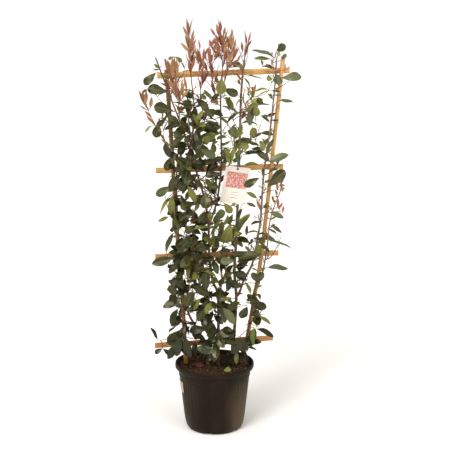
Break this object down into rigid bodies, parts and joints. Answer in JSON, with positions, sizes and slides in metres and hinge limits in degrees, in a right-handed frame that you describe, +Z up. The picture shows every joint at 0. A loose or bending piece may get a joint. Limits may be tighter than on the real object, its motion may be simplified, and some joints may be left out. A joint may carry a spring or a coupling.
{
  "type": "potted shrub trained on a frame",
  "caption": "Young evergreen shrub with glossy leaves and red shoots, tied to a bamboo frame in a black nursery pot with compost and a blank hanging label.",
  "frame": {"origin": "centre of the pot's flat underside", "axes": "+Z up the plant, -Y towards its front, +X to its right as seen from the front"},
  "size_m": [0.5517, 0.2761, 1.3344],
  "materials": {
    "pot_plastic": "dusty black-brown moulded plastic",
    "compost": "crumbly bark and peat",
    "bamboo": "smooth golden cane",
    "bark": "thin purplish brown bark",
    "tie_plastic": "soft green tie",
    "label_tie_plastic": "soft teal tie",
    "label_card": "smooth cream card",
    "mature_leaves": "leathery, glossy",
    "young_leaves": "soft, satin",
    "bronze_leaves": "soft, satin",
    "red_leaves": "soft, satin"
  },
  "bodies": {
    "root": {"bronze_left": "bronze_leaves", "centre_back": "mature_leaves", "centre_front": "young_leaves", "centre_low": "mature_leaves", "centre_low_front": "mature_leaves", "centre_right_bough": "bark", "centre_short_bough": "bark", "centre_stem": "bark", "centre_upper": "young_leaves", "compost": "compost", "crown_left": "mature_leaves", "far_right_stem": "bark", "foot_centre": "mature_leaves", "foot_left": "mature_leaves", "foot_right": "mature_leaves", "foot_slat": "bamboo", "label": "label_card", "label_tie": "label_tie_plastic", "left_cane": "bamboo", "left_front_low": "mature_leaves", "left_inner": "mature_leaves", "left_low_back": "mature_leaves", "left_low_outer": "mature_leaves", "left_outer_low": "mature_leaves", "left_stem": "bark", "lower_slat": "bamboo", "middle_back": "mature_leaves", "middle_centre": "mature_leaves", "middle_left_front": "mature_leaves", "middle_left_outer": "mature_leaves", "middle_left_side": "mature_leaves", "outer_left": "bronze_leaves", "plume_centre": "red_leaves", "plume_centre_right": "red_leaves", "plume_left": "red_leaves", "plume_left_small": "red_leaves", "plume_right": "red_leaves", "pot": "pot_plastic", "right_bronze": "bronze_leaves", "right_cane": "bamboo", "right_gap": "mature_leaves", "right_low": "mature_leaves", "right_middle": "mature_leaves", "right_outer_bough": "bark", "right_outer_leaves": "mature_leaves", "right_stem": "bark", "right_tip": "mature_leaves", "right_top": "mature_leaves", "right_upper_outer": "mature_leaves", "short_tip": "mature_leaves", "shoulder_back": "mature_leaves", "shoulder_front": "mature_leaves", "tie_right_low": "tie_plastic", "tie_right_middle": "tie_plastic", "tie_right_top": "tie_plastic", "tie_right_upper": "tie_plastic", "top_slat": "bamboo", "upper_left_bough": "bark", "upper_left_leaves": "mature_leaves", "upper_slat": "bamboo"}
  },
  "joints": []
}
